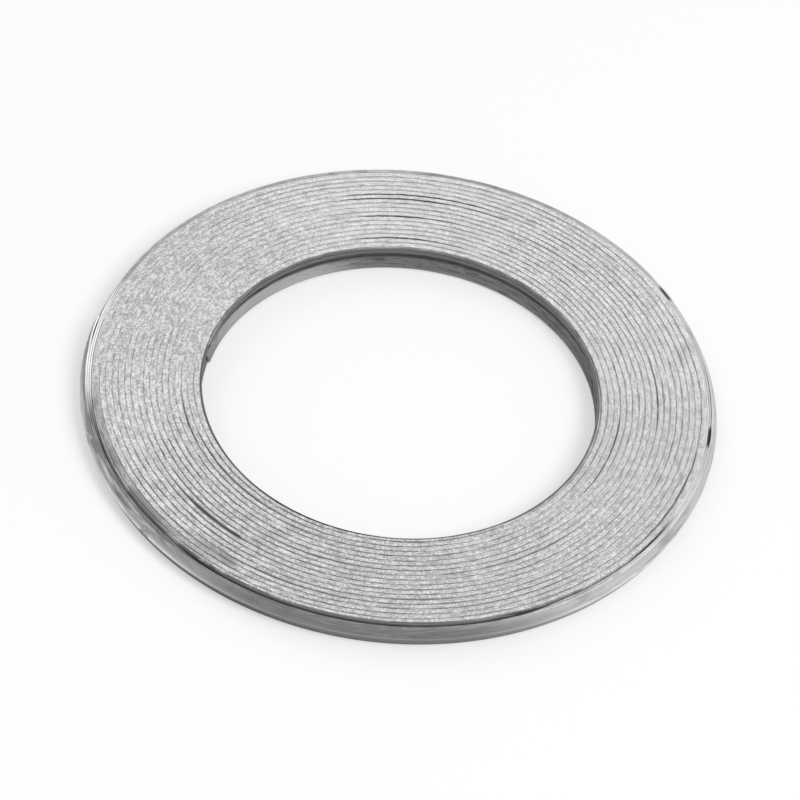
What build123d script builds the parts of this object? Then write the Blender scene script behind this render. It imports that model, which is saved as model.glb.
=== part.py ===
from build123d import *

import math
import os

# Spiral wound gasket, basic type: no centring ring and no inner ring.
#
# One stainless strip with a V section and one flexible graphite strip are wound together on a flat
# spiral. The first and the last steel turns are wound bare and spot welded. The graphite stands
# proud of the steel's edges on both sealing faces.
#
# Frame: the origin is on the winding's axis in the lower sealing face, and +Z is the winding's axis.
# All sizes are in millimetres and in degrees.

# Driving dimensions
bore_diameter = 44.0  # inside the first steel turn, at the strip's edges
steel_thickness = 0.20  # of the steel strip, measured along the radius
steel_height = 2.8  # of the formed steel strip, from edge to edge
crown_depth = 0.6  # how far the V's crown stands out from the strip's edges
graphite_thickness = 0.48  # of the graphite strip, measured along the radius
graphite_proud = 0.2  # graphite above the steel's edge, on each sealing face
graphite_clearance = 0.01  # on either side of the graphite strip
bare_turn_gap = 0.03  # between two bare steel turns
inner_bare_turns = 2
filled_turns = 17
outer_bare_turns = 3
tail_arc = 135.0  # of the half turn over which a graphite end is squeezed to nothing
strip_end_angle = 170.0  # where both ends of the steel strip lie, from +X towards +Y
weld_count = 3  # spot welds on the first half turn, and as many on the last
weld_diameter = 0.7
weld_from_end = 3.0  # from either end of the steel strip to its first spot weld
inner_weld_spacing = 24.0
outer_weld_spacing = 15.0
weld_flat = 0.12  # how far the electrode flattens the outermost crown
weld_fill = 0.05  # how far a weld fills the bottom of the V at the bore

# Sizes that follow from them
bore_radius = bore_diameter / 2
half_steel = steel_height / 2
half_graphite = half_steel + graphite_proud
flank_slope = crown_depth / half_steel
bare_pitch = steel_thickness + bare_turn_gap
graphite_offset = steel_thickness + graphite_clearance
filled_pitch = graphite_offset + graphite_thickness + graphite_clearance
first_filled_radius = bore_radius + inner_bare_turns * bare_pitch
last_filled_radius = first_filled_radius + (filled_turns - 1) * filled_pitch
last_turn_radius = last_filled_radius + filled_pitch + (outer_bare_turns - 1) * bare_pitch

# The winding plane is at mid-height. It faces down, so that a turn that runs counter-clockwise on
# it runs clockwise when it is seen from above. Its x axis points at the strip's ends.
end_direction = Vector(1, 0, 0).rotate(Axis.Z, strip_end_angle)
winding_plane = Plane(origin=(0, 0, half_graphite), x_dir=end_direction, z_dir=(0, 0, -1))
end_plane = Plane(origin=winding_plane.origin, x_dir=end_direction, z_dir=-winding_plane.y_dir)


def axis_at(offset):
    """The upright axis of the half turns whose centre lies at this offset along the end plane."""
    return Axis(winding_plane.from_local_coords((offset, 0, 0)), winding_plane.z_dir)


def v_section(inner_radius, thickness, half_height):
    """A strip's section in the end plane: a V that points away from the bore.

    inner_radius is where the strip's inner face meets the height of the steel's edges.
    """
    crown = inner_radius + crown_depth
    edge = crown - flank_slope * half_height
    with BuildSketch(end_plane) as section:
        with BuildLine():
            Polyline(
                (edge, -half_height),
                (crown, 0),
                (edge, half_height),
                (edge + thickness, half_height),
                (crown + thickness, 0),
                (edge + thickness, -half_height),
                close=True,
            )
        make_face()
    return section.sketch


def v_disc(centre, radius):
    """Half the section of a disc as high as the graphite whose rim has the strip's V."""
    edge = radius + crown_depth - flank_slope * half_graphite
    with BuildSketch(end_plane) as section:
        with BuildLine():
            Polyline(
                (centre, -half_graphite),
                (centre + edge, -half_graphite),
                (centre + radius + crown_depth, 0),
                (centre + edge, half_graphite),
                (centre, half_graphite),
                close=True,
            )
        make_face()
    return section.sketch


def wind(section, pitches):
    """Sweep a section along tangent half turns about two centres, half a pitch apart.

    pitches holds one pitch for each half turn. The path runs through the section's own middle.
    """
    radius = winding_plane.to_local_coords(section.center()).X
    with BuildLine(winding_plane) as path:
        for index, pitch in enumerate(pitches):
            if index % 2 == 0:
                CenterArc((0, 0), radius, 0, 180)
            else:
                CenterArc((pitch / 2, 0), radius + pitch / 2, 180, 180)
                radius += pitch
    sweep(section, path=path.wire())


def squeezed_tail(outer_centre, outer_radius, inner_centre, inner_radius, from_thin_end):
    """The crescent between two steel turns of different pitch, which the graphite's end fills."""
    start = -tail_arc if from_thin_end else -180
    first = v_disc(outer_centre, outer_radius).rotate(axis_at(outer_centre), start)
    revolve(first, axis_at(outer_centre), tail_arc)
    revolve(v_disc(inner_centre, inner_radius), axis_at(inner_centre), 360, mode=Mode.SUBTRACT)


def radial_post(centre, angle, start_radius, end_radius, mode=Mode.ADD):
    """A post as wide as a spot weld, along the radius at this angle of a half turn."""
    turn = math.radians(angle)
    radial = winding_plane.x_dir * math.cos(turn) + winding_plane.y_dir * math.sin(turn)
    foot = winding_plane.from_local_coords((centre, 0, 0)) + radial * start_radius
    length = end_radius - start_radius
    with Locations(Plane(origin=foot, z_dir=radial)):
        Cylinder(weld_diameter / 2, length, align=(Align.CENTER, Align.CENTER, Align.MIN), mode=mode)


with BuildPart() as steel_strip:
    turn_pitches = [bare_pitch] * inner_bare_turns
    turn_pitches += [filled_pitch] * filled_turns
    turn_pitches += [bare_pitch] * outer_bare_turns
    half_turn_pitches = [pitch for pitch in turn_pitches for half in range(2)]
    wind(v_section(bore_radius, steel_thickness, half_steel), half_turn_pitches)

    # Spot welds run through the bare turns and end inside the flanks of the turn that the graphite
    # lies against. The electrode flattens the outermost crown, and a weld fills the V at the bore.
    weld_edge_drop = flank_slope * weld_diameter / 2
    inner_crown = bore_radius + crown_depth
    inner_end = inner_crown + inner_bare_turns * bare_pitch + (steel_thickness - weld_edge_drop) / 2
    outer_crown = last_turn_radius + bare_pitch / 2 + crown_depth + steel_thickness
    outer_start = outer_crown - (outer_bare_turns - 1) * bare_pitch - steel_thickness / 2
    outer_flat = outer_crown - weld_flat
    for number in range(weld_count):
        inner_angle = math.degrees((weld_from_end + number * inner_weld_spacing) / inner_crown)
        outer_angle = 360 - math.degrees((weld_from_end + number * outer_weld_spacing) / outer_crown)
        radial_post(0, inner_angle, inner_crown - weld_fill, inner_end)
        radial_post(bare_pitch / 2, outer_angle, outer_start, outer_flat)
        radial_post(bare_pitch / 2, outer_angle, outer_flat, outer_crown + weld_flat, Mode.SUBTRACT)

with BuildPart() as graphite_strip:
    squeezed_tail(
        bare_pitch / 2,
        last_filled_radius + filled_pitch + bare_pitch / 2 - graphite_clearance,
        filled_pitch / 2,
        last_filled_radius + filled_pitch / 2 + graphite_offset,
        from_thin_end=False,
    )
    squeezed_tail(
        filled_pitch / 2,
        first_filled_radius + filled_pitch / 2 - graphite_clearance,
        bare_pitch / 2,
        first_filled_radius - bare_pitch / 2 + graphite_offset,
        from_thin_end=True,
    )
    first_section = v_section(first_filled_radius + graphite_offset, graphite_thickness, half_graphite)
    wind(first_section, [filled_pitch] * (2 * filled_turns - 1))

os.makedirs("parts", exist_ok=True)
steel_strip.part.label = "steel_strip"
graphite_strip.part.label = "graphite_strip"
export_step(steel_strip.part, "parts/steel_strip.step")
export_step(graphite_strip.part, "parts/graphite_strip.step")
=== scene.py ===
import logging
import math
from bisect import bisect_right
from dataclasses import dataclass, field
from enum import Enum
from functools import cached_property, reduce
from typing import Any, Callable, Union

import bpy
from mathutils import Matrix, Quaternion, Vector


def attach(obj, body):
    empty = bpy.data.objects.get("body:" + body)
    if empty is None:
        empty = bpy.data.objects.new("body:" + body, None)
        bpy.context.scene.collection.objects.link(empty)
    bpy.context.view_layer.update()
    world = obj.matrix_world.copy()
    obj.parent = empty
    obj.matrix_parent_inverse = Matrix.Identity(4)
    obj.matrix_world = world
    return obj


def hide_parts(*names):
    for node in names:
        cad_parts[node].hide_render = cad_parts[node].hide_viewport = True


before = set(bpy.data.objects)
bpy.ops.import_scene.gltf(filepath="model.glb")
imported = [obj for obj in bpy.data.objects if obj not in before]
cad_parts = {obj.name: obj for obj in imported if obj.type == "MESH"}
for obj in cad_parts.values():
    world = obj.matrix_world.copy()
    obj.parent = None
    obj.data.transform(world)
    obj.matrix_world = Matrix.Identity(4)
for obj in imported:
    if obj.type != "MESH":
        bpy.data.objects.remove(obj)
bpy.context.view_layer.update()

LOG = logging.getLogger("spiral_wound_gasket")
MM = 0.001
Triple = tuple[float, float, float]
WHITE = (1.0, 1.0, 1.0, 1.0)


class Side(Enum):
    """The two faces of a wound strip, with the way that each one looks along the radius."""

    BORE = -1.0
    RIM = 1.0


class Edge(Enum):
    """The two edges of a strip, with the way that each one looks along the axis."""

    UPPER = 1.0
    LOWER = -1.0


class Push(Enum):
    """The directions in which a straight strip's points are pushed."""

    RADIAL = "Y"
    AXIAL = "Z"


# ---- Shader maths ----


class Signal:
    """A shader socket on which Python's operators add Math nodes."""

    def __init__(self, board: "Board", socket: bpy.types.NodeSocket) -> None:
        """Wraps one output socket of a board's node."""
        self.board = board
        self.socket = socket

    def _apply(self, operation: str, *values: "Level") -> "Signal":
        """Adds one Math node with these inputs in order, and gives its result."""
        node = self.board.add(
            "ShaderNodeMath", {"operation": operation}, dict(enumerate(values))
        )
        return Signal(self.board, node.outputs[0])

    def __add__(self, other: "Level") -> "Signal":
        """Adds a level."""
        return self._apply("ADD", self, other)

    __radd__ = __add__

    def __sub__(self, other: "Level") -> "Signal":
        """Takes a level away."""
        return self._apply("SUBTRACT", self, other)

    def __rsub__(self, other: "Level") -> "Signal":
        """Takes this away from a level."""
        return self._apply("SUBTRACT", other, self)

    def __mul__(self, other: "Level") -> "Signal":
        """Multiplies by a level."""
        return self._apply("MULTIPLY", self, other)

    __rmul__ = __mul__

    def __truediv__(self, other: "Level") -> "Signal":
        """Divides by a level."""
        return self._apply("DIVIDE", self, other)

    def __pow__(self, other: "Level") -> "Signal":
        """Raises to a power."""
        return self._apply("POWER", self, other)

    def __abs__(self) -> "Signal":
        """Drops the sign."""
        return self._apply("ABSOLUTE", self)

    def whole(self) -> "Signal":
        """The whole part."""
        return self._apply("FLOOR", self)

    def part(self) -> "Signal":
        """What is left over the whole part."""
        return self._apply("FRACT", self)

    def at_least(self, other: "Level") -> "Signal":
        """The higher of the two."""
        return self._apply("MAXIMUM", self, other)

    def rise(self, low: float, high: float) -> "Signal":
        """Turns a range into a smooth rise from 0 to 1.

        Args:
            low: Where the rise starts.
            high: Where it ends; below low for a fall.

        Returns:
            The share of the rise.
        """
        node = self.board.add(
            "ShaderNodeMapRange",
            {"interpolation_type": "SMOOTHSTEP", "clamp": True},
            {"Value": self, "From Min": low, "From Max": high},
        )
        return Signal(self.board, node.outputs["Result"])


Level = Union[Signal, float]


class Board:
    """A node tree, to which every node is added by its type."""

    def __init__(self, owner: bpy.types.Material | bpy.types.World) -> None:
        """Takes the node tree of a material or a world, and clears it."""
        owner.use_nodes = True
        self.owner = owner
        self.tree = owner.node_tree
        self.tree.nodes.clear()

    @classmethod
    def of_material(cls, name: str) -> "Board":
        """The board of a new material with this name."""
        return cls(bpy.data.materials.new(name))

    def add(
        self,
        kind: str,
        settings: dict[str, Any] | None = None,
        sockets: dict[str | int, Any] | None = None,
    ) -> bpy.types.Node:
        """Adds one node.

        Args:
            kind: The node's type.
            settings: Its properties, which are set first.
            sockets: Values or links for its inputs, by name or by number.

        Returns:
            The node.
        """
        node = self.tree.nodes.new(kind)
        for name, value in (settings or {}).items():
            setattr(node, name, value)
        for name, value in (sockets or {}).items():
            socket = node.inputs[name]
            if isinstance(value, Signal):
                self.tree.links.new(value.socket, socket)
            elif isinstance(value, bpy.types.NodeSocket):
                self.tree.links.new(value, socket)
            else:
                socket.default_value = value
        return node

    def blend(self, share: Level, first: Any, second: Any) -> bpy.types.NodeSocket:
        """Mixes two colours or colour sockets: 0 for the first and 1 for the second."""
        ends = [(*c, 1.0) if isinstance(c, tuple) else c for c in (first, second)]
        settings = {"data_type": "RGBA", "clamp_factor": True}
        sockets = {0: share, 6: ends[0], 7: ends[1]}
        return self.add("ShaderNodeMix", settings, sockets).outputs[2]

    def noise(
        self,
        place: Any,
        scale: float,
        detail: float,
        roughness: float,
        distortion: float = 0.0,
    ) -> Signal:
        """Adds a noise pattern.

        Args:
            place: The vector that it is read at.
            scale: Cells to one unit of the vector.
            detail: How many finer layers it has.
            roughness: How strong the finer layers are.
            distortion: How far it is warped.

        Returns:
            The pattern, from 0 to 1.
        """
        sockets = {
            "Vector": place,
            "Scale": scale,
            "Detail": detail,
            "Roughness": roughness,
            "Distortion": distortion,
        }
        node = self.add("ShaderNodeTexNoise", {"noise_dimensions": "3D"}, sockets)
        return Signal(self, node.outputs["Fac"])

    def seen_by(self, *rays: str) -> Signal:
        """Tells rays apart, with 1 for rays of these kinds and 0 for the others."""
        path = self.add("ShaderNodeLightPath")
        found = [Signal(self, path.outputs[f"Is {ray} Ray"]) for ray in rays]
        return reduce(Signal.at_least, found)

    def close(
        self, kind: str, share: Level, first: bpy.types.Node, second: bpy.types.Node
    ) -> None:
        """Closes the tree with an output node of a kind, fed by two mixed shaders."""
        ends = {0: share, 1: first.outputs[0], 2: second.outputs[0]}
        mixed = self.add("ShaderNodeMixShader", {}, ends)
        self.add(kind, {}, {"Surface": mixed.outputs[0]})

    def surface(
        self, coat: "Coat", metallic: Level, roughness: Level, height: Signal, depth: float
    ) -> bpy.types.Material:
        """Closes a material with its shader.

        Args:
            coat: The layered colour.
            metallic: How metallic it is, from 0 to 1.
            roughness: How rough it is, from 0 to 1.
            height: The relief, in millimetres.
            depth: How strongly the relief shows, from 0 to 1.

        Returns:
            The material.
        """
        bump = self.add(
            "ShaderNodeBump", {}, {"Strength": depth, "Distance": MM, "Height": height}
        )
        look = {
            "Base Color": coat.colour,
            "Metallic": metallic,
            "Roughness": roughness,
            "Normal": bump.outputs["Normal"],
        }
        shader = self.add("ShaderNodeBsdfPrincipled", {}, look)
        self.add("ShaderNodeOutputMaterial", {}, {"Surface": shader.outputs[0]})
        return self.owner


class Coat:
    """A colour that is built up in layers."""

    def __init__(self, board: Board, base: Triple) -> None:
        """Starts with one colour, on a board."""
        self.board = board
        self.colour: Any = base

    def lay(self, share: Level, colour: Triple) -> None:
        """Lays a colour over the others, by its share from 0 to 1."""
        self.colour = self.board.blend(share, self.colour, colour)

    def fleck(
        self, pattern: Signal, starts: float, full: float, share: Level, colour: Triple
    ) -> None:
        """Lays a colour where a pattern passes a level.

        Args:
            pattern: The pattern.
            starts: The pattern's level at which the colour starts.
            full: The level at which it is full; below starts for the pattern's low parts.
            share: How far the colour covers where it is full.
            colour: The colour.
        """
        self.lay(pattern.rise(starts, full) * share, colour)


# ---- The spiral ----


@dataclass(frozen=True)
class HalfTurn:
    """One half turn of the steel strip's inner face."""

    centre: float
    radius: float


@dataclass(frozen=True)
class Winding:
    """The flat spiral of both strips. It runs outward clockwise, seen from above."""

    bore_radius: float = 22.0 * MM
    steel_thickness: float = 0.20 * MM
    steel_height: float = 2.8 * MM
    crown_depth: float = 0.6 * MM
    graphite_thickness: float = 0.48 * MM
    graphite_height: float = 3.2 * MM
    clearance: float = 0.01 * MM
    bare_gap: float = 0.03 * MM
    inner_bare_turns: int = 2
    filled_turns: int = 17
    outer_bare_turns: int = 3
    tail_arc: float = 135.0
    ends_at: float = 170.0

    @property
    def middle(self) -> float:
        """The height of the winding's middle."""
        return self.graphite_height / 2

    @property
    def slope(self) -> float:
        """How fast the V's flanks lean out."""
        return self.crown_depth / (self.steel_height / 2)

    @property
    def bare_pitch(self) -> float:
        """How far a bare turn grows."""
        return self.steel_thickness + self.bare_gap

    @property
    def filled_pitch(self) -> float:
        """How far a turn that carries graphite grows."""
        return self.steel_thickness + self.graphite_thickness + 2 * self.clearance

    @property
    def first_filled(self) -> float:
        """The radius of the first turn that carries graphite."""
        return self.bore_radius + self.inner_bare_turns * self.bare_pitch

    @property
    def rim_plies(self) -> list[float]:
        """The radii of the rim's bare turns, from the inside out."""
        first = self.first_filled + self.filled_turns * self.filled_pitch
        return [first + number * self.bare_pitch for number in range(self.outer_bare_turns)]

    @property
    def pitches(self) -> list[float]:
        """How far each whole turn grows."""
        return (
            [self.bare_pitch] * self.inner_bare_turns
            + [self.filled_pitch] * self.filled_turns
            + [self.bare_pitch] * self.outer_bare_turns
        )

    @property
    def half_turns(self) -> list[HalfTurn]:
        """The half turns in order, about two centres in turn."""
        found = []
        radius = self.bore_radius
        for pitch in self.pitches:
            found.append(HalfTurn(0.0, radius))
            found.append(HalfTurn(pitch / 2, radius + pitch / 2))
            radius += pitch
        return found

    def place(self, half: HalfTurn, reach: float, turned: float) -> tuple[float, float]:
        """The x and y of a place on a half turn, by its distance and turned angle."""
        end = math.radians(self.ends_at)
        bearing = end - math.radians(turned)
        return (
            half.centre * math.cos(end) + reach * math.cos(bearing),
            half.centre * math.sin(end) + reach * math.sin(bearing),
        )


@dataclass(frozen=True)
class Route:
    """A stretch of the spiral at one distance outside the steel strip's inner face."""

    winding: Winding
    offset: float
    begins: float
    ends: float
    wire_step: float = 1.5

    @cached_property
    def stretches(self) -> list[tuple[HalfTurn, float, float]]:
        """The half turns on the route, each with its first and last turned degrees there."""
        found = []
        for number, half in enumerate(self.winding.half_turns):
            low = max(self.begins, 180.0 * number)
            high = min(self.ends, 180.0 * (number + 1))
            if high > low:
                found.append((half, low, high))
        return found

    @cached_property
    def starts(self) -> list[float]:
        """How far along the route each of its half turns starts, and at last its length."""
        found = [0.0]
        for half, low, high in self.stretches:
            found.append(found[-1] + math.radians(high - low) * (half.radius + self.offset))
        return found

    @property
    def length(self) -> float:
        """The length of the route."""
        return self.starts[-1]

    def turned(self, distance: float) -> float:
        """The turned angle in degrees from the steel's start, at a distance along."""
        number = bisect_right(self.starts, distance, 1, len(self.stretches)) - 1
        half, low, high = self.stretches[number]
        past = max(distance - self.starts[number], 0.0)
        return min(low + math.degrees(past / (half.radius + self.offset)), high)

    def off(self, distance: float, angle: float) -> float:
        """How many degrees the route lies, at a distance along it, from an angle from +X."""
        bearing = (self.winding.ends_at - self.turned(distance)) % 360.0
        return abs((bearing - angle + 180.0) % 360.0 - 180.0)

    def wire(self) -> bpy.types.Object:
        """Makes a curve that a straight strip is wound on, with points a step apart."""
        points = []
        for half, low, high in self.stretches:
            count = max(1, round((high - low) / self.wire_step))
            for index in range(1 if points else 0, count + 1):
                turned = low + (high - low) * index / count
                points.append(self.winding.place(half, half.radius + self.offset, turned))
        curve = bpy.data.curves.new("winding_wire", "CURVE")
        curve.dimensions = "2D"
        spline = curve.splines.new("POLY")
        spline.points.add(len(points) - 1)
        for knot, (x, y) in zip(spline.points, points):
            knot.co = (x, y, 0.0, 1.0)
        wire = bpy.data.objects.new("winding_wire", curve)
        bpy.context.scene.collection.objects.link(wire)
        return wire


# ---- The finishes ----


class WoundPlace:
    """Where a point lies in the winding, in millimetres, and vectors that follow the turns."""

    HAIR = 0.0005
    NEXT_TURN = 7.31
    NEXT_GROOVE = 5.17

    def __init__(self, board: Board, winding: Winding) -> None:
        """Reads the piece's own coordinates and follows them through a winding."""
        self.board = board
        self.winding = winding
        self.groove = winding.steel_thickness / 2 / winding.filled_pitch
        whole = board.add("ShaderNodeTexCoord").outputs["Object"]
        self.place = board.add(
            "ShaderNodeVectorMath", {"operation": "SCALE"}, {0: whole, "Scale": 1 / MM}
        ).outputs[0]
        parts = board.add("ShaderNodeSeparateXYZ", {}, {0: self.place})
        self.x, self.y, z = (Signal(board, parts.outputs[i]) for i in range(3))
        self.up = z
        self.above = z - winding.middle / MM
        self.height = abs(self.above)
        self.upper = self.above.rise(0.0, 0.1)
        self.radius = (self.x * self.x + self.y * self.y) ** 0.5
        self.second_half = self.towards(winding.ends_at - 90.0).rise(self.HAIR, -self.HAIR)
        pitch = winding.filled_pitch / MM
        self.turn = (self.spiral(pitch) - winding.first_filled / MM) / pitch

    def spiral(self, pitch: float) -> Signal:
        """A radius that stays the same along a turn of this pitch, at the steel's edges."""
        end = math.radians(self.winding.ends_at)
        shift = self.second_half * (pitch / 2)
        x = self.x - shift * math.cos(end)
        y = self.y - shift * math.sin(end)
        lean = (self.height - self.winding.steel_height / 2 / MM) * self.winding.slope
        return (x * x + y * y) ** 0.5 - shift + lean

    def along(self, turns: float, across: float, up: float = 0.0) -> bpy.types.NodeSocket:
        """A seamless vector for streaks that run round the winding.

        Args:
            turns: The size of the circle that one turn makes in the pattern.
            across: Units to a millimetre of radius.
            up: Units to a millimetre of height.

        Returns:
            The vector.
        """
        return self._round(turns, self.radius * across + self.up * up)

    def by_turn(self, turns: float, across: float, seed: float = 0.0) -> bpy.types.NodeSocket:
        """A vector along each filled turn, by which every turn gets a pattern of its own.

        Args:
            turns: The size of the circle that one turn makes in the pattern.
            across: Units to the width of one turn.
            seed: Where the patterns start.

        Returns:
            The vector.
        """
        level = self.turn.whole() * self.NEXT_TURN + self.turn.part() * across + seed
        return self._round(turns, level)

    def by_groove(self, turns: float, seed: float) -> bpy.types.NodeSocket:
        """A vector along each groove over a steel edge, by which its lips share a pattern."""
        number = (self.turn + (0.5 - self.groove)).whole()
        return self._round(turns, number * self.NEXT_GROOVE + seed)

    def _round(self, turns: float, level: Level) -> bpy.types.NodeSocket:
        """A vector that goes round a circle at a level of its own."""
        x, y = self.x / self.radius * turns, self.y / self.radius * turns
        return self.board.add("ShaderNodeCombineXYZ", {}, {0: x, 1: y, 2: level}).outputs[0]

    def towards(self, angle: float) -> Signal:
        """How squarely a point faces an angle from +X, from -1 behind to 1 straight on."""
        turn = math.radians(angle)
        return (self.x * math.cos(turn) + self.y * math.sin(turn)) / self.radius

    def near(self, angle: float, span: float, fade: float) -> Signal:
        """A window round an angle.

        Args:
            angle: The angle from +X, in degrees.
            span: Half the window's width in degrees.
            fade: Over how many degrees its ends fade.

        Returns:
            1 inside the window and 0 outside.
        """
        far = math.cos(math.radians(min(span + fade, 180.0)))
        return self.towards(angle).rise(far, math.cos(math.radians(span)))


@dataclass(frozen=True)
class OpenGroove:
    """A groove that has stayed open over part of a turn, with painted shade in it."""

    turn: int
    middle: float
    span: float
    opening: float


OPEN_GROOVES = (
    OpenGroove(11, 229.0, 8.0, 0.10 * MM),
    OpenGroove(11, 234.0, 4.0, 0.08 * MM),
    OpenGroove(3, 225.0, 18.0, 0.04 * MM),
    OpenGroove(4, 199.0, 5.0, 0.05 * MM),
    OpenGroove(15, 251.0, 11.0, 0.05 * MM),
    OpenGroove(8, 256.0, 7.0, 0.05 * MM),
    OpenGroove(14, 91.0, 11.0, 0.03 * MM),
    OpenGroove(13, 96.0, 8.0, 0.03 * MM),
    OpenGroove(9, 93.0, 8.0, 0.035 * MM),
    OpenGroove(4, 92.0, 11.0, 0.04 * MM),
    OpenGroove(11, 6.0, 5.0, 0.01 * MM),
    OpenGroove(18, 339.0, 10.0, 0.05 * MM),
    OpenGroove(14, 277.0, 6.0, 0.02 * MM),
    OpenGroove(9, 303.0, 9.0, 0.02 * MM),
    OpenGroove(16, 300.0, 8.0, 0.01 * MM),
    OpenGroove(5, 345.0, 11.0, 0.01 * MM),
)
GROOVE_FADE = 6.0


def open_grooves(at: WoundPlace) -> Signal:
    """Marks the grooves that have stayed open, with 1 by them and 0 elsewhere."""
    marks = []
    for groove in OPEN_GROOVES:
        off = abs(at.turn - (groove.turn - at.winding.inner_bare_turns + at.groove))
        marks.append(off.rise(0.36, 0.18) * at.near(groove.middle, groove.span, GROOVE_FADE))
    return reduce(Signal.at_least, marks)


def rim_soot(at: WoundPlace) -> Signal:
    """Marks the sooty patches where the outer turns have been knocked, from 0 to 1."""
    cloud = at.board.noise(at.along(7.0, 1.1), 1.0, 3.0, 0.6, 0.4).rise(0.44, 0.60)
    patch = at.turn.rise(12.8, 13.8) * at.turn.rise(15.7, 14.7) * at.near(237.0, 0.8, 5.5)
    border = at.turn.rise(14.8, 15.6) * at.near(212.0, 14.0, 16.0)
    soot = (patch * (0.60 + 0.40 * cloud)).at_least(border * (0.50 + 0.50 * cloud))
    return soot * at.upper


def smeared_shut(at: WoundPlace) -> Signal:
    """How far graphite is smeared over each groove, from 0 for open to 1 for shut."""
    long = at.board.noise(at.by_groove(1.5, 2.0), 1.0, 2.0, 0.5) - 0.5
    short = at.board.noise(at.by_groove(14.0, 40.0), 1.0, 3.0, 0.6) - 0.5
    torn = at.towards(222.0).rise(0.3, 0.95)
    broken = at.towards(50.0).rise(0.5, 1.0)
    left = at.towards(150.0).rise(0.35, 0.85)
    back = at.towards(95.0).rise(0.75, 1.0)
    right = at.towards(10.0).rise(0.3, 0.9)
    front = at.towards(248.0).rise(0.6, 1.0)
    level = long * 0.60 + short * (0.40 + 0.60 * torn + 0.35 * broken)
    level = level + left * 0.20 + back * 0.12 + right * 0.10 - front * 0.12
    return level.rise(-0.06, 0.12)


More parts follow.
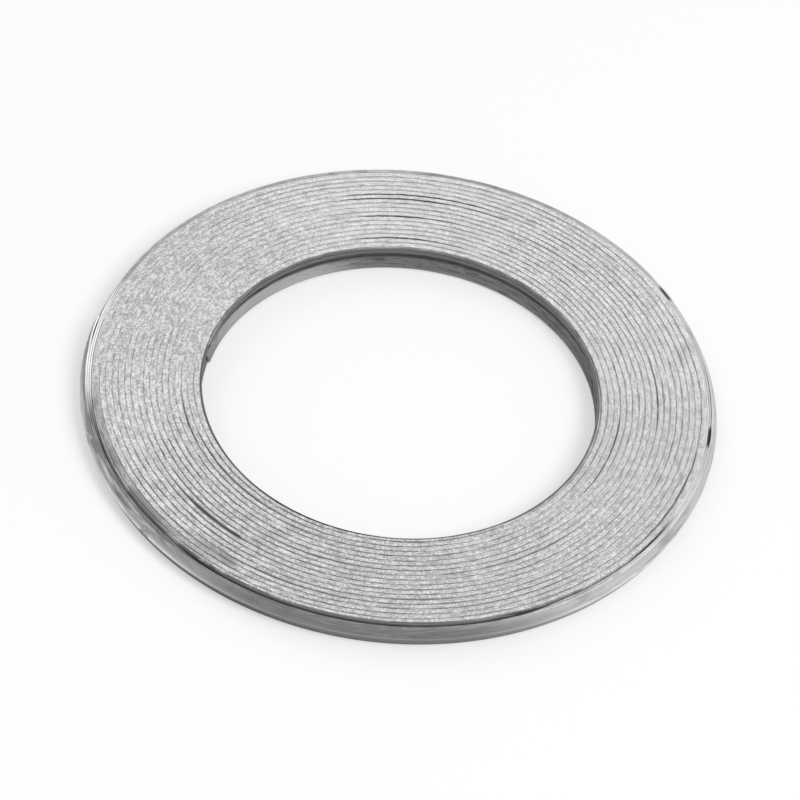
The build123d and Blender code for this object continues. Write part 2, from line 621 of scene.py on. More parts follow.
@dataclass(frozen=True)
class GraphiteFinish:
    """Flexible graphite: silver grey, flaky and smeared on its crest, with painted shade in
    the grooves.
    """

    name: str = "flexible_graphite"
    crest: Triple = (0.83, 0.83, 0.832)
    worn: Triple = (0.93, 0.93, 0.93)
    flake: Triple = (0.50, 0.50, 0.503)
    pit: Triple = (0.34, 0.34, 0.342)
    # soot also serves as the painted shade in the open grooves
    soot: Triple = (0.22, 0.22, 0.222)
    # painted shade in the grooves
    groove_shade: Triple = (0.20, 0.20, 0.202)
    tear: Triple = (0.07, 0.07, 0.071)
    torn_turn: float = 9.15
    metallic: float = 0.2
    relief: float = 0.85

    def make(self, winding: Winding) -> bpy.types.Material:
        """Builds the material.

        Args:
            winding: The winding whose turns the finish follows.

        Returns:
            The material.
        """
        board = Board.of_material(self.name)
        at = WoundPlace(board, winding)
        grain = board.noise(at.place, 3.4, 4.0, 0.80)
        flakes = board.noise(at.along(14.0, 3.4, 3.4), 1.0, 4.0, 0.70, 0.6)
        layers = board.noise(at.by_turn(6.0, 6.5), 1.0, 3.0, 0.65)
        dashes = board.noise(at.by_turn(11.0, 2.4, 3.7), 1.0, 2.0, 0.5)
        blotches = board.noise(at.place, 0.25, 3.0, 0.55, 0.5)
        smear = at.near(180.0, 16.0, 30.0) * blotches.rise(0.25, 0.50)
        frontward = at.towards(262.0).rise(-0.9, 1.0)

        coat = Coat(board, self.flake)
        coat.lay(flakes.rise(0.40, 0.60) * 0.45 + grain.rise(0.42, 0.58) * 0.55, self.crest)
        coat.fleck(layers, 0.56, 0.68, 0.60, self.worn)
        coat.fleck(layers, 0.42, 0.30, 0.60, self.flake)
        coat.fleck(dashes, 0.64, 0.72, 0.75 - 0.55 * smear, self.soot)
        coat.fleck(blotches, 0.60, 0.38, 0.20, self.flake)
        # darker towards the front and the left, lighter at the back
        coat.lay(frontward * 0.43, self.flake)
        front = at.towards(270.0).rise(0.6, 1.0) * 0.42 + at.near(333.0, 16.0, 22.0) * 0.24
        left = at.near(154.0, 10.0, 28.0) * 0.46
        coat.lay(front + left, self.pit)
        coat.lay(at.near(98.0, 18.0, 24.0) * 0.10, self.worn)
        self._speckle(coat, at)
        self._blacken(coat, at, frontward)

        height = grain * 0.050 + flakes * 0.055 + layers * 0.040
        height = height - dashes.rise(0.60, 0.72) * 0.03
        roughness = 0.62 - 0.20 * flakes.rise(0.4, 0.7)
        return board.surface(coat, self.metallic, roughness, height, self.relief)

    def _speckle(self, coat: Coat, at: WoundPlace) -> None:
        """Lays the grit, the beads, the patches and the dust on the crest."""
        noise = at.board.noise
        grit = noise(at.along(30.0, 3.0), 1.0, 3.0, 0.70)
        gritty = 0.32 + 0.16 * at.towards(300.0).rise(0.0, 1.0)
        gritty = gritty + 0.36 * at.towards(200.0).rise(-0.1, 0.8)
        coat.fleck(grit, 0.51, 0.57, gritty, self.pit)
        coat.fleck(grit, 0.49, 0.43, gritty * 0.55, self.worn)
        beads = noise(at.by_turn(32.0, 3.0, 8.3), 1.0, 2.0, 0.55)
        beaded = 0.36 + 0.44 * at.towards(225.0).rise(-0.2, 0.8)
        coat.fleck(beads, 0.42, 0.34, beaded, self.flake)
        coat.fleck(beads, 0.57, 0.66, beaded * 0.65, self.worn)
        patches = noise(at.by_turn(9.0, 1.4, 21.0), 1.0, 2.0, 0.5)
        patched = 0.20 * at.towards(228.0).rise(0.45, 0.9)
        coat.fleck(patches, 0.52, 0.60, patched, self.pit)
        coat.fleck(patches, 0.48, 0.40, patched, self.worn)
        dust = noise(at.place, 4.3, 1.0, 0.5)
        dusty = 0.38 - 0.30 * at.near(0.0, 10.0, 25.0) - 0.26 * at.near(92.0, 10.0, 20.0)
        coat.fleck(dust, 0.49, 0.59, dusty * 0.95, self.pit)
        coat.fleck(dust, 0.50, 0.40, dusty, self.worn)
        coat.fleck(noise(at.place, 1.9, 1.0, 0.5), 0.74, 0.78, 0.6, self.soot)

    def _blacken(self, coat: Coat, at: WoundPlace, frontward: Signal) -> None:
        """Lays the soot by the rim, the painted shade in the grooves, and the tear."""
        sunk = at.height.rise(1.58, 1.42)
        coat.lay(rim_soot(at) * 0.95, self.soot)
        # painted shade in the grooves, stronger towards the front and less where smeared shut
        coat.lay(sunk * (1.0 - smeared_shut(at)) * (0.40 + 0.60 * frontward), self.groove_shade)
        # painted shade in the grooves that have stayed open
        coat.lay(open_grooves(at) * (sunk * 0.9).at_least(0.10), self.soot)
        tear = at.near(233.0, 4.0, 10.0) * at.near(226.0, 11.0, 1.2) * at.upper
        coat.fleck(abs(at.turn - self.torn_turn), 0.46, 0.24, tear * 0.9, self.tear)


class SteelCoat(Coat):
    """The steel's layered colour, with the patterns that its layers share."""

    def __init__(self, at: WoundPlace, finish: "SteelFinish") -> None:
        """Starts with the strip's dull colour."""
        super().__init__(at.board, finish.dull)
        self.at = at
        self.finish = finish
        self.lines = at.board.noise(at.along(2.0, 0.0, 22.0), 1.0, 3.0, 0.6)
        self.marks = at.board.noise(at.along(14.0, 2.0, 5.0), 1.0, 4.0, 0.65, 0.3)
        self.smears = at.board.noise(at.along(5.0, 0.3, 0.9), 1.0, 3.0, 0.6, 0.6)
        self.first = at.winding.bore_radius / MM
        self.plies = [radius / MM for radius in at.winding.rim_plies]
        self.face = at.spiral(at.winding.bare_pitch / MM)
        self.bore = self.face.rise(self.first + 0.30, self.first + 0.15)
        self.edge = at.height.rise(1.30, 1.385)

    def roll(self) -> None:
        """Lays the drawn lines, the scratches and the smears of the rolled strip."""
        self.lay(self.lines.rise(0.3, 0.7), self.finish.bright)
        self.fleck(self.marks, 0.56, 0.72, 0.45, self.finish.soot)
        self.fleck(self.smears, 0.50, 0.68, 0.40, self.finish.soot)

    def rim_wall(self) -> None:
        """Paints shade on the rim's wall and a highlight along its crown, which stands also
        for polish.
        """
        at, finish, marks = self.at, self.finish, self.marks
        rim = self.face.rise(self.plies[-1] + 0.13, self.plies[-1] + 0.18)
        upper = at.above.rise(0.15, 0.7)
        lower = at.above.rise(-0.10, -0.7)
        crown = at.height.rise(0.26, 0.10)
        shaded = at.towards(197.0).rise(0.6, 0.99)
        front = at.towards(268.0).rise(0.72, 0.98)
        # painted shade on the lower flank, strongest at the left
        self.lay(rim * lower * (0.45 + 0.35 * at.near(222.0, 18.0, 20.0)), finish.soot)
        # painted shade on the upper flank at the left, broken up by the smears
        self.fleck(self.smears, 0.30, 0.55, rim * upper * shaded * 0.75, finish.soot)
        # painted highlight along the V's crown, which stands also for its polish
        self.lay(crown * rim * (0.35 + 0.65 * marks.rise(0.6, 0.4)), finish.polish_and_highlight)
        # painted shade on the wall at the front, broken up by the marks
        self.lay(rim * front * (0.82 - 0.16 * marks.rise(0.45, 0.65)), finish.soot)

    def bore_wall(self) -> None:
        """Paints shade on the bore's wall, darkest in the bottom of the V and lighter at its
        lips, with a painted highlight on its lower flank at the left.
        """
        above, finish, bore, lines = self.at.above, self.finish, self.bore, self.lines
        # painted shade over the whole bore wall, streaked by the drawn lines and flecked
        # darker by the marks
        self.lay(bore * (0.90 - 0.25 * lines.rise(0.45, 0.70)), finish.bore)
        self.fleck(self.marks, 0.50, 0.64, bore * 0.45, finish.pitch)
        # painted highlight on the lower flank at the left
        shine = above.rise(-0.15, -0.40) * self.at.near(140.0, 14.0, 22.0)
        self.lay(bore * shine * (0.4 + 0.6 * lines) * 0.75, finish.bright)
        # painted shade in the bottom of the V
        valley = above.rise(-0.22, -0.08) * above.rise(0.70, 0.40)
        self.lay(bore * valley * 0.60, finish.pitch)
        # less painted shade at the wall's top and bottom lips
        lips = above.rise(0.6, 1.0).at_least(above.rise(-1.15, -1.35))
        self.lay(bore * lips * 0.24, finish.dull)

    def edges(self) -> None:
        """Darkens the edges at the bore towards the back and the front, and lays painted
        glints, graphite film and soot on the others, with painted shade, partly graphite dust,
        in the open grooves.
        """
        at, finish, face, edge = self.at, self.finish, self.face, self.edge
        inner = face.rise(self.first + 0.48, self.first + 0.44)
        self.lay(edge * inner * at.towards(85.0).rise(0.1, 0.8) * 0.6, finish.soot)
        first = face.rise(self.first + 0.26, self.first + 0.22)
        self.lay(edge * first * at.towards(262.0).rise(-0.2, 0.8) * 0.6, finish.soot)
        dark_spot = face.rise(self.first + 0.50, self.first + 0.44)
        self.lay(edge * dark_spot * at.near(250.0, 8.0, 16.0) * 0.8, finish.pitch)
        self.fleck(self.marks, 0.60, 0.38, edge * 0.35, finish.soot)
        filled = edge * at.radius.rise(22.9, 23.1) * at.radius.rise(34.6, 34.4)
        # painted glints: painted highlights on some of the edges
        glints = at.board.noise(at.by_groove(5.0, 60.0), 1.0, 2.0, 0.5)
        self.fleck(glints, 0.52, 0.64, filled * 0.85, finish.polish_and_highlight)
        self.lay(filled * smeared_shut(at) * 0.9, finish.film)
        # painted shade, partly graphite dust, on the edges at the bottom of the open grooves
        self.lay(filled * open_grooves(at) * 0.8, finish.soot)

    def seams(self) -> None:
        """Paints highlights on the rim's plies, and shade in the seams between them and on the
        sunk plies.
        """
        at, finish, face, edge = self.at, self.finish, self.face, self.edge
        inner, middle, outer = self.plies
        # painted highlights on the rim plies' edges at the left and at the right
        lit = at.near(177.0, 8.0, 12.0) * 0.75 + at.near(8.0, 34.0, 26.0) * 0.45
        self.lay(face.rise(inner - 0.03, inner) * edge * lit, finish.polish_and_highlight)
        behind = at.towards(100.0).rise(-0.1, 0.7).at_least(at.towards(60.0).rise(-0.35, 0.6))
        whole = (1.0 - 0.7 * behind) * (1.0 - 0.9 * at.near(340.0, 11.0, 8.0))
        outer_seam = at.near(267.0, 29.0, 13.0)
        inner_seam = at.near(218.0, 15.0, 12.0).at_least(at.near(313.0, 16.0, 8.0))
        notch = at.near(357.2, 1.2, 2.0).at_least(at.near(34.8, 0.8, 1.6) * 0.8)
        notched = outer_seam.at_least(notch)
        trail = at.near(1.0, 4.0, 12.0) * at.near(8.0, 12.2, 1.0)
        # painted shade, near black, in the seams between the plies and in their notches
        for seam, width, share in (
            (outer - 0.015, 0.035, notched.at_least(trail) * 0.95),
            (middle - 0.015, 0.02, outer_seam * 0.5 + whole * 0.25),
            (inner - 0.02, 0.03, inner_seam * 0.9 + whole * (1.0 - inner_seam) * 0.5),
        ):
            self.fleck(abs(face - seam), width + 0.012, width, share, finish.pitch)
        sunk = at.above.rise(0.5, 0.9)
        well = face.rise(middle - 0.05, middle - 0.02) * face.rise(outer + 0.10, outer + 0.08)
        # painted shade in the well of the sunk ply
        self.lay(well * notched * sunk * 0.95, finish.pitch)
        ply = face.rise(inner - 0.06, inner - 0.03) * face.rise(outer - 0.06, middle + 0.01)
        # painted shade on the sunk plies
        self.lay(ply * sunk * at.near(262.0, 20.0, 22.0) * 0.85, finish.soot)
        self.lay(ply * sunk * inner_seam * 0.95, finish.pitch)
        self.lay(edge * rim_soot(at) * 0.7, finish.soot)

    def scorch(self, weld: Vector) -> None:
        """Darkens the strip round one spot weld's place."""
        ends = {0: self.at.place, 1: tuple(part / MM for part in weld)}
        away = self.board.add("ShaderNodeVectorMath", {"operation": "DISTANCE"}, ends)
        distance = Signal(self.board, away.outputs["Value"])
        self.fleck(distance, 1.1, 0.35, 0.4, self.finish.soot)


@dataclass(frozen=True)
class SteelFinish:
    """Cold rolled stainless strip: drawn lines along its length and soot, with a painted
    highlight along its crown that stands also for polish, and painted shade and highlights on
    its walls, seams and grooves.
    """

    name: str = "rolled_stainless"
    bright: Triple = (0.66, 0.66, 0.655)
    dull: Triple = (0.44, 0.44, 0.44)
    # the painted highlights on the crown, the rim's plies and the glinting edges, standing
    # also for polish
    polish_and_highlight: Triple = (0.86, 0.86, 0.855)
    # soot also serves as painted shade on the rim's wall, the sunk plies and the open grooves
    soot: Triple = (0.10, 0.10, 0.101)
    # the painted shade of the bore's wall
    bore: Triple = (0.13, 0.13, 0.131)
    film: Triple = (0.60, 0.60, 0.602)
    # near black, for the painted shade in the seams, the sunk plies' wells and the bore, and
    # for the dark spot at the bore's edge
    pitch: Triple = (0.02, 0.02, 0.02)
    relief: float = 0.8

    def make(self, winding: Winding, welds: list[Vector]) -> bpy.types.Material:
        """Builds the material.

        Args:
            winding: The winding whose turns the finish follows.
            welds: The places of the spot welds, which have scorched the strip round them.

        Returns:
            The material.
        """
        board = Board.of_material(self.name)
        coat = SteelCoat(WoundPlace(board, winding), self)
        coat.roll()
        coat.rim_wall()
        coat.bore_wall()
        coat.edges()
        coat.seams()
        for weld in welds:
            coat.scorch(weld)
        metallic = 1.0 - 0.35 * coat.smears.rise(0.45, 0.7)
        worn = 0.15 * coat.bore + 0.20 * coat.edge
        roughness = 0.30 + 0.22 * coat.marks.rise(0.4, 0.7) + worn
        height = coat.lines * 0.012 + coat.marks * 0.012
        return board.surface(coat, metallic, roughness, height, self.relief)


# ---- Bench work ----


class Bench:
    """One piece on the bench: what is done to it by hand in edit mode and with modifiers."""

    def __init__(self, piece: bpy.types.Object) -> None:
        """Takes a mesh object, and makes it the only one selected and the active one."""
        self.piece = piece
        bpy.ops.object.select_all(action="DESELECT")
        piece.select_set(True)
        bpy.context.view_layer.objects.active = piece

    def edit(self) -> None:
        """Goes into edit mode with everything selected."""
        bpy.ops.object.mode_set(mode="EDIT")
        bpy.ops.mesh.select_mode(type="VERT")
        bpy.ops.mesh.select_all(action="SELECT")

    def leave(self) -> None:
        """Goes back to object mode."""
        bpy.ops.object.mode_set(mode="OBJECT")

    def _select(self, kind: str, wanted: Callable[[Any], bool]) -> None:
        """Selects the edges or the faces that a test wants, and stays in edit mode."""
        bpy.ops.mesh.select_mode(type=kind)
        bpy.ops.mesh.select_all(action="DESELECT")
        self.leave()
        mesh = self.piece.data
        for item in mesh.edges if kind == "EDGE" else mesh.polygons:
            item.select = wanted(item)
        bpy.ops.object.mode_set(mode="EDIT")

    def select_edges(self, wanted: Callable[[Vector, Vector], bool]) -> None:
        """Selects the edges whose two ends' places a test wants, and stays in edit mode."""

        def ends_wanted(edge: bpy.types.MeshEdge) -> bool:
            """Whether the test wants an edge."""
            return wanted(*(self.piece.data.vertices[index].co for index in edge.vertices))

        self._select("EDGE", ends_wanted)

    def select_faces(self, wanted: Callable[[bpy.types.MeshPolygon], bool]) -> None:
        """Selects the faces that a test wants, and stays in edit mode."""
        self._select("FACE", wanted)

    def modify(self, kind: str, **settings: Any) -> None:
        """Adds a modifier of a kind with these settings, and applies it."""
        modifier = self.piece.modifiers.new(kind.lower(), kind)
        for name, value in settings.items():
            setattr(modifier, name, value)
        bpy.ops.object.modifier_apply(modifier=modifier.name)

    def weigh(
        self,
        name: str,
        where: Callable[[Vector], bool],
        share: Callable[[Vector], float] = lambda place: 1.0,
    ) -> str:
        """Makes a vertex group from the points' places.

        Args:
            name: The group's name.
            where: Says whether a point may belong to it.
            share: Gives the weight of a point that may, from 0 to 1.

        Returns:
            The group's name.
        """
        group = self.piece.vertex_groups.new(name=name)
        for vertex in self.piece.data.vertices:
            weight = share(vertex.co) if where(vertex.co) else 0.0
            if weight > 0.0:
                group.add([vertex.index], min(weight, 1.0), "REPLACE")
        return group.name

    def push(self, group: str, push: Push, distance: float) -> None:
        """Pushes a group of points one way, by a distance that their weights scale."""
        self.modify(
            "DISPLACE",
            direction=push.value,
            strength=distance,
            mid_level=0.0,
            vertex_group=group,
        )

    def roughen(
        self,
        group: str,
        push: Push,
        depth: float,
        grain: float,
        middle: float = 0.5,
        contrast: float = 1.0,
    ) -> None:
        """Pushes a group of points to and fro by a cloudy pattern.

        Args:
            group: The vertex group, whose weights scale the push.
            push: The direction.
            depth: The distance between the pattern's lowest and highest points.
            grain: The size of the pattern's clouds.
            middle: The level of the pattern that doesn't move a point.
            contrast: How hard the pattern is.
        """
        clouds = bpy.data.textures.new(f"{group}_clouds", "CLOUDS")
        clouds.noise_scale = grain
        clouds.noise_depth = 2
        clouds.contrast = contrast
        self.modify(
            "DISPLACE",
            direction=push.value,
            strength=depth,
            mid_level=middle,
            vertex_group=group,
            texture=clouds,
            texture_coords="LOCAL",
        )
        bpy.data.textures.remove(clouds)


@dataclass(frozen=True)
class Rounding:
    """How an edge is rounded."""

    size: float
    steps: int


@dataclass
class Strip:
    """A formed strip that is made straight, cell by cell, and then wound on a wire.

    Straight, it runs along X. Y is the way out from the bore and Z the winding's axis.
    """

    winding: Winding
    route: Route = field(init=False)
    bench: Bench = field(init=False)
    name: str = field(init=False)
    slot: str = field(init=False)
    node: str = field(init=False)
    cells: int = field(init=False)
    corner: Rounding = field(init=False)
    crown: Rounding = field(init=False)
    touching: float = 0.01 * MM
    smooth_below: float = 50.0

    def shape(self, thickness: float, height: float) -> None:
        """Makes the straight strip, as long as its route.

        Args:
            thickness: Its thickness along Y.
            height: Its height along Z.
        """
        middle = self.winding.middle
        lean = self.winding.slope * height / 2
        edge = self.winding.crown_depth - lean
        cell = self.route.length / self.cells

        bpy.ops.object.select_all(action="DESELECT")
        bpy.ops.mesh.primitive_plane_add(size=1.0, rotation=(0.0, math.pi / 2, 0.0))
        self.bench = bench = Bench(bpy.context.object)
        bench.piece.name = self.name
        bench.piece.data.name = self.name
        bench.edit()
        section = (1.0, thickness, height)
        bpy.ops.transform.resize(value=section, center_override=(0.0, 0.0, 0.0))
        bpy.ops.transform.translate(value=(0.0, edge + thickness / 2, middle))
        bpy.ops.mesh.select_all(action="SELECT")
        bpy.ops.mesh.bisect(plane_co=(0.0, 0.0, middle), plane_no=(0.0, 0.0, 1.0))
        bpy.ops.transform.translate(value=(0.0, lean, 0.0))
        bench.leave()
        bpy.ops.object.transform_apply(location=True, rotation=True, scale=True)

        bench.edit()
        bpy.ops.mesh.delete(type="ONLY_FACE")
        bench.select_edges(lambda a, b: abs(a.z - middle) + abs(b.z - middle) < self.touching)
        bpy.ops.mesh.delete(type="EDGE")
        bpy.ops.mesh.select_all(action="SELECT")
        bpy.ops.mesh.extrude_edges_move(TRANSFORM_OT_translate={"value": (cell, 0.0, 0.0)})
        for rounding, at_crown in ((self.corner, False), (self.crown, True)):
            bench.select_edges(
                lambda a, b: abs(a.x - b.x) > cell / 2
                and (abs(a.z - middle) < height / 4) == at_crown
            )
            bpy.ops.mesh.bevel(offset=rounding.size, segments=rounding.steps, affect="EDGES")
        bench.leave()
        bench.modify(
            "ARRAY",
            count=self.cells,
            use_relative_offset=False,
            use_constant_offset=True,
            constant_offset_displace=(cell, 0.0, 0.0),
            use_merge_vertices=True,
            merge_threshold=cell / 100,
        )

    def wind(self) -> None:
        """Winds the straight strip on its route and closes its ends."""
        bench = self.bench
        wire = self.route.wire()
        bench.modify("CURVE", object=wire, deform_axis="POS_X")
        bpy.data.objects.remove(wire)
        bench.edit()
        bpy.ops.mesh.fill_holes(sides=0)
        bpy.ops.mesh.select_all(action="SELECT")
        bpy.ops.mesh.normals_make_consistent(inside=False)
        bench.leave()
        bpy.ops.object.shade_smooth_by_angle(angle=math.radians(self.smooth_below))
        bench.piece.vertex_groups.clear()

    def dress(self, material: bpy.types.Material) -> None:
        """Gives the strip its finish and its place in the frame."""
        bench = self.bench
        bench.piece.data.materials.append(material)
        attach(bench.piece, "root")
        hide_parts(self.node)
        LOG.info("%s: %d faces", self.name, len(bench.piece.data.polygons))


def ramp(share: float) -> float:
    """A smooth rise from 0 to 1."""
    share = min(max(share, 0.0), 1.0)
    return share * share * (3.0 - 2.0 * share)


def bell(distance: float, reach: float) -> float:
    """A smooth bump that is 1 at no distance and fades out at about twice the reach."""
    return math.exp(-((distance / reach) ** 2))


# ---- The strips ----


@dataclass(frozen=True)
class Spring:
    """A stretch of a bare turn whose upper edge has sprung out or been pressed down.

    It begins, ends and fades by turned degrees, on the last turn or so many turns before it.
    """

    begins: float
    ends: float
    fade: float
    opening: float
    push: Push = Push.RADIAL
    turns_back: int = 0

    def share(self, turned: float) -> float:
        """How far it has moved at a turned angle on its own turn, from 0 to 1."""
        past, left = turned - self.begins, self.ends - turned
        return ramp(past / self.fade) * ramp(left / self.fade)


@dataclass(frozen=True)
class WeldMark:
    """The dished mark that an electrode leaves."""

    radius: float = 0.31 * MM
    thickness: float = 0.16 * MM
    centre: float = -0.06 * MM
    dish: tuple[tuple[float, float], ...] = (
        (0.06 * MM, 0.0),
        (0.06 * MM, -0.02 * MM),
        (0.08 * MM, -0.008 * MM),
    )
    rounding: float = 0.02 * MM

    def model(self, material: bpy.types.Material) -> bpy.types.Object:
        """Models one mark, facing up, in a finish."""
        bpy.ops.object.select_all(action="DESELECT")
        bpy.ops.mesh.primitive_cylinder_add(
            vertices=32,
            radius=self.radius,
            depth=self.thickness,
            location=(0.0, 0.0, self.centre),
        )
        bench = Bench(bpy.context.object)
        bpy.ops.object.transform_apply(location=True, rotation=True, scale=True)
        bench.edit()
        bench.select_faces(lambda face: face.normal.z > 0.9)
        for inset, rise in self.dish:
            bpy.ops.mesh.inset(thickness=inset, depth=rise)
        bench.leave()
        bench.modify("BEVEL", width=self.rounding, segments=2, limit_method="ANGLE")
        bpy.ops.object.shade_smooth_by_angle(angle=math.radians(60.0))
        bench.piece.data.materials.append(material)
        return bench.piece


@dataclass
class SteelStrip(Strip):
    """The stainless strip, from the bore's bare turns to the rim's."""

    name: str = "steel_winding"
    slot: str = "steel"
    node: str = "steel_strip"
    cells: int = 6600
    corner: Rounding = Rounding(0.035 * MM, 1)
    crown: Rounding = Rounding(0.16 * MM, 2)
    finish: SteelFinish = field(default_factory=SteelFinish)
    springs: tuple[Spring, ...] = (
        Spring(195.0, 331.0, 40.0, 0.11 * MM),
        Spring(132.2, 138.2, 2.4, 0.08 * MM),
        Spring(169.5, 176.5, 3.2, 0.09 * MM),
        Spring(352.0, 362.0, 4.0, 0.10 * MM),
        Spring(222.0, 304.0, 16.0, -0.30 * MM, Push.AXIAL, 1),
        Spring(198.0, 238.0, 14.0, -0.26 * MM, Push.AXIAL, 2),
        Spring(284.0, 338.0, 18.0, -0.26 * MM, Push.AXIAL, 2),
    )
    edge_share: float = 0.9
    edge_wave: float = 0.04 * MM
    edge_grain: float = 5 * MM
    mark: WeldMark = WeldMark()
    weld_from_end: float = 3.0 * MM
    weld_spacings: tuple[float, float] = (24.0 * MM, 15.0 * MM)
    welds_at_each_end: int = 3
    weld_fill: float = 0.05 * MM
    weld_flat: float = 0.12 * MM
    weld_reach: float = 0.5 * MM

    def build(self) -> None:
        """Makes, winds and dresses the strip."""
        winding = self.winding
        self.route = Route(winding, 0.0, 0.0, 360.0 * len(winding.pitches))
        self.shape(winding.steel_thickness, winding.steel_height)
        for edge in Edge:
            worn = self.bench.weigh("edge", lambda place: self._on_edge(place, edge))
            self.bench.roughen(worn, Push.AXIAL, self.edge_wave, self.edge_grain)
        self._spring_edges()
        self._press_welds()
        self.wind()
        material = self.finish.make(winding, [place for place, _ in self._weld_places()])
        self.dress(material)
        self._weld(material)

    def _on_edge(self, place: Vector, edge: Edge) -> bool:
        """Whether a point of the straight strip belongs to one of its edges."""
        half = self.winding.steel_height / 2
        return edge.value * (place.z - self.winding.middle) > self.edge_share * half

    def _spring_edges(self) -> None:
        """Moves the rim's upper edges where they have sprung out or been pressed down."""
        for number, spring in enumerate(self.springs):
            start = self.route.ends - 360.0 * (spring.turns_back + 1)
            group = self.bench.weigh(
                f"spring_{number}",
                lambda place: self._on_edge(place, Edge.UPPER),
                lambda place: spring.share(self.route.turned(place.x) - start),
            )
            self.bench.push(group, spring.push, spring.opening)

    def _press_welds(self) -> None:
        """Presses the outermost crown flat at each weld."""
        crown = self.winding.crown_depth + self.winding.steel_thickness
        reach = self.route.stretches[-1][0].radius
        for number in range(self.welds_at_each_end):
            back = (self.weld_from_end + number * self.weld_spacings[1]) * reach
            centre = self.route.length - back / (reach + crown)
            group = self.bench.weigh(
                f"weld_{number}",
                lambda place: place.y > crown - 0.1 * MM
                and abs(place.x - centre) < 4 * self.weld_reach,
                lambda place: bell(place.x - centre, self.weld_reach),
            )
            self.bench.push(group, Push.RADIAL, -self.weld_flat)

    def _weld_places(self) -> list[tuple[Vector, float]]:
        """The centre of each spot weld's mark, and the bearing in degrees that it faces."""
        winding = self.winding
        first, last = winding.half_turns[0], winding.half_turns[-1]
        inner = first.radius + winding.crown_depth
        outer = last.radius + winding.crown_depth + winding.steel_thickness
        found = []
        for number in range(self.welds_at_each_end):
            back = [self.weld_from_end + number * spacing for spacing in self.weld_spacings]
            from_start = math.degrees(back[0] / inner)
            from_end = 180.0 * len(winding.half_turns) - math.degrees(back[1] / outer)
            for half, reach, turned, flip in (
                (first, inner - self.weld_fill, from_start, 180.0),
                (last, outer - self.weld_flat, from_end, 0.0),
            ):
                place = Vector((*winding.place(half, reach, turned), winding.middle))
                found.append((place, winding.ends_at - turned + flip))
        return found

    def _weld(self, material: bpy.types.Material) -> None:
        """Models one spot weld's mark and puts a copy of it at each weld."""
        model = self.mark.model(material)
        for number, (place, bearing) in enumerate(self._weld_places()):
            mark = model.copy()
            mark.data = model.data.copy()
            mark.name = f"spot_weld_{number + 1}"
            bpy.context.scene.collection.objects.link(mark)
            mark.rotation_euler = (0.0, math.pi / 2, math.radians(bearing))
            mark.location = place
            Bench(mark)
            bpy.ops.object.transform_apply(location=True, rotation=True, scale=True)
            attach(mark, "root")
        bpy.data.objects.remove(model)
        LOG.info("spot welds: %d", 2 * self.welds_at_each_end)


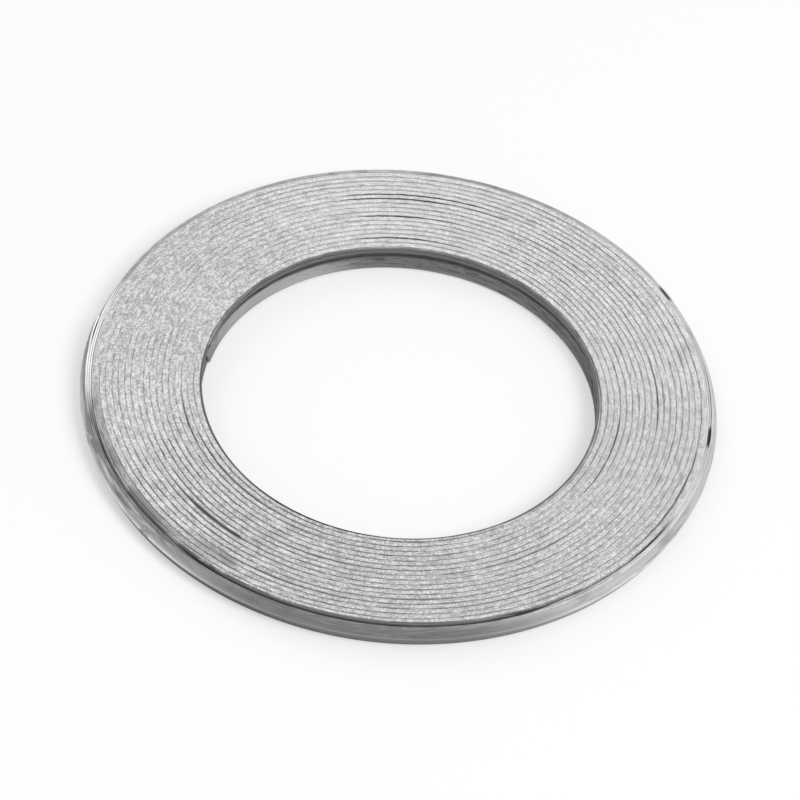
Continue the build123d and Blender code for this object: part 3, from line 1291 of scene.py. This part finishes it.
@dataclass
class GraphiteStrip(Strip):
    """The flexible graphite strip, with a thin tail at either end."""

    name: str = "graphite_winding"
    slot: str = "graphite"
    node: str = "graphite_strip"
    cells: int = 5400
    corner: Rounding = Rounding(0.09 * MM, 2)
    crown: Rounding = Rounding(0.12 * MM, 1)
    finish: GraphiteFinish = field(default_factory=GraphiteFinish)
    crest_depth: float = 0.20 * MM
    crest_wear: float = 0.07 * MM
    crest_sway: float = 0.06 * MM
    lip_starts: float = 0.06 * MM
    lip_spread: float = 0.12 * MM
    lip_grains: tuple[tuple[float, float], ...] = (
        (0.08 * MM, 0.8 * MM),
        (0.11 * MM, 1.6 * MM),
        (0.11 * MM, 17.0 * MM),
    )
    thin: float = 0.3
    smeared_at: float = 158.0
    smeared_over: float = 36.0

    def build(self) -> None:
        """Makes, winds and dresses the strip."""
        winding = self.winding
        last_turn = winding.inner_bare_turns + winding.filled_turns - 1
        self.route = Route(
            winding,
            winding.steel_thickness + winding.clearance,
            360.0 * winding.inner_bare_turns - winding.tail_arc,
            360.0 * last_turn + 180.0 + winding.tail_arc,
        )
        self.shape(winding.graphite_thickness, winding.graphite_height)
        self._squeeze_tails()
        self._rough_crests()
        for side in Side:
            self._spread_lips(side)
            self._open_grooves(side)
        self.wind()
        self.dress(self.finish.make(winding))

    def _filling(self, place: Vector) -> float:
        """The share of its thickness that the strip keeps, from nearly 0 at the tips to 1."""
        winding, turned = self.winding, self.route.turned(place.x)
        from_end = min(turned - self.route.begins, self.route.ends - turned)
        if from_end >= winding.tail_arc:
            return 1.0
        opening = (1.0 + math.cos(math.radians(winding.tail_arc - max(from_end, 0.0)))) / 2
        bare = winding.bare_gap - 2 * winding.clearance
        full = winding.graphite_thickness
        return (bare + opening * (full - bare)) / full

    def _squeeze_tails(self) -> None:
        """Thins both ends to the room between the steel turns."""
        winding = self.winding
        for vertex in self.bench.piece.data.vertices:
            share = self._filling(vertex.co)
            if share < 1.0:
                face = winding.crown_depth - winding.slope * abs(vertex.co.z - winding.middle)
                vertex.co.y = face + (vertex.co.y - face) * share

    def _under_top(self, place: Vector) -> float:
        """How far a point of the straight strip lies under the top of the nearer crest."""
        return self.winding.graphite_height / 2 - abs(place.z - self.winding.middle)

    def _on_crest(self, place: Vector, edge: Edge) -> bool:
        """Whether a point of the straight strip belongs to one of its crests."""
        way = edge.value * (place.z - self.winding.middle)
        return way > 0.0 and self._under_top(place) < self.crest_depth

    def _on_lips(self, place: Vector, side: Side) -> bool:
        """Whether a point of the straight strip belongs to the lips of one side."""
        winding = self.winding
        edge = winding.crown_depth - winding.slope * winding.graphite_height / 2
        out = side.value * (place.y - edge - winding.graphite_thickness / 2)
        return self._under_top(place) < self.crest_depth and out > self.lip_starts

    def _full(self, place: Vector) -> float:
        """How full the strip is at a point, from 0 on the tails to 1."""
        return max(0.0, self._filling(place) * (1.0 + self.thin) - self.thin)

    def _smeared(self, place: Vector) -> float:
        """How far the crest is smeared flat over the grooves at a point: most on the left."""
        return bell(self.route.off(place.x, self.smeared_at), self.smeared_over)

    def _worn(self, place: Vector) -> float:
        """How far a crest's corner is worn level at a point."""
        return self._smeared(place) * self._under_top(place) / self.corner.size

    def _spread(self, place: Vector) -> float:
        """How far the lips are spread at a point."""
        right = 0.22 * bell(self.route.off(place.x, 20.0), 60.0)
        return self._full(place) * (0.30 + 0.70 * self._smeared(place) + right)

    def _rough_crests(self) -> None:
        """Wears both crests: their corners, their height and their lean."""
        bench = self.bench
        for edge in Edge:
            crest = bench.weigh("crest", lambda p: self._on_crest(p, edge), self._full)
            corners = bench.weigh("corners", lambda p: self._on_crest(p, edge), self._worn)
            wear = edge.value * self.crest_wear
            bench.push(corners, Push.AXIAL, wear)
            bench.roughen(crest, Push.AXIAL, wear, 2.2 * MM, middle=1.0, contrast=1.4)
            bench.roughen(crest, Push.RADIAL, self.crest_sway, 6.0 * MM)

    def _spread_lips(self, side: Side) -> None:
        """Spreads the lips of one side unevenly over the grooves."""
        bench = self.bench
        lips = bench.weigh("lips", lambda p: self._on_lips(p, side), self._full)
        smear = bench.weigh("smear", lambda p: self._on_lips(p, side), self._spread)
        bench.push(smear, Push.RADIAL, side.value * self.lip_spread)
        for depth, grain in self.lip_grains:
            bench.roughen(lips, Push.RADIAL, side.value * depth, grain)

    def _open_grooves(self, side: Side) -> None:
        """Draws the lips of one side back where a groove has stayed open."""
        for groove in OPEN_GROOVES:
            turn = groove.turn if side is Side.BORE else groove.turn - 1
            middle = 360.0 * turn + (self.winding.ends_at - groove.middle) % 360.0
            group = self.bench.weigh(
                "groove",
                lambda place: self._on_lips(place, side)
                and abs(self.route.turned(place.x) - middle) < 2.2 * groove.span,
                lambda place: bell(self.route.turned(place.x) - middle, groove.span),
            )
            self.bench.push(group, Push.RADIAL, -side.value * groove.opening)


# ---- The studio ----


@dataclass(frozen=True)
class Lamp:
    """A soft lamp: where it stands, how large it is and how strong."""

    name: str
    place: Triple
    size: float
    power: float


@dataclass
class Studio:
    """The pale floor, the soft light and the camera."""

    elevation: float = 46.5
    roll: float = 6.4
    distance: float = 0.8
    seen_width: float = 0.0894
    sensor: float = 36.0
    aim: Triple = (0.0, 0.0, 0.0016)
    dome: float = 0.55
    floor_size: float = 6.0
    floor_drop: float = 0.02 * MM
    floor_white: Triple = (0.97, 0.97, 0.97)
    floor_glow: float = 0.45
    lamps: tuple[Lamp, ...] = (
        Lamp("key_lamp", (0.50, -0.45, 0.80), 0.50, 6.0),
        Lamp("back_lamp", (-0.60, 0.70, 0.60), 0.60, 1.6),
    )

    def build(self) -> None:
        """Sets the studio up."""
        self._floor()
        self._world()
        for lamp in self.lamps:
            self._lamp(lamp)
        self._camera()
        bpy.context.scene.view_settings.view_transform = "Standard"

    def _floor(self) -> None:
        """Lays a plain pale floor, a hair below the object."""
        bpy.ops.object.select_all(action="DESELECT")
        bpy.ops.mesh.primitive_plane_add(
            size=self.floor_size, location=(0.0, 0.0, -self.floor_drop)
        )
        floor = bpy.context.object
        floor.name = "studio_floor"
        bpy.ops.object.transform_apply(location=True, rotation=True, scale=True)
        board = Board.of_material("pale_floor")
        paper = board.add("ShaderNodeBsdfDiffuse", {}, {"Color": (*self.floor_white, 1.0)})
        glow = board.add("ShaderNodeEmission", {}, {"Color": WHITE, "Strength": 1.0})
        seen = board.seen_by("Camera") * self.floor_glow
        board.close("ShaderNodeOutputMaterial", seen, paper, glow)
        floor.data.materials.append(board.owner)

    def _world(self) -> None:
        """Surrounds the studio with soft white light."""
        world = bpy.data.worlds.new("studio_dome")
        bpy.context.scene.world = world
        board = Board(world)
        seen = board.seen_by("Camera", "Glossy", "Transmission")
        soft = board.add("ShaderNodeBackground", {}, {"Color": WHITE, "Strength": self.dome})
        clear = board.add("ShaderNodeBackground", {}, {"Color": WHITE, "Strength": 1.0})
        board.close("ShaderNodeOutputWorld", seen, soft, clear)

    def _lamp(self, lamp: Lamp) -> None:
        """Hangs one soft lamp that points at the object."""
        bpy.ops.object.light_add(type="AREA", location=lamp.place)
        light = bpy.context.object
        light.name = lamp.name
        light.data.shape = "SQUARE"
        light.data.size = lamp.size
        light.data.energy = lamp.power
        way = Vector(self.aim) - Vector(lamp.place)
        light.rotation_euler = way.to_track_quat("-Z", "Y").to_euler()

    def _camera(self) -> None:
        """Places the camera at its viewing angle."""
        tilt = math.radians(self.elevation)
        back = Vector((0.0, -math.cos(tilt), math.sin(tilt)))
        bpy.ops.object.camera_add(location=Vector(self.aim) + back * self.distance)
        camera = bpy.context.object
        camera.name = "studio_camera"
        roll = Quaternion((0.0, 0.0, 1.0), math.radians(self.roll))
        camera.rotation_euler = ((-back).to_track_quat("-Z", "Y") @ roll).to_euler()
        camera.data.sensor_width = self.sensor
        camera.data.lens = self.sensor * self.distance / self.seen_width
        camera.data.clip_start = 0.01
        camera.data.clip_end = 20.0
        bpy.context.scene.camera = camera


def main() -> None:
    """Builds the gasket's two strips and the studio."""
    logging.basicConfig(level=logging.INFO, format="%(name)s: %(message)s")
    winding = Winding()
    SteelStrip(winding).build()
    GraphiteStrip(winding).build()
    Studio().build()


if __name__ == "__main__":
    main()
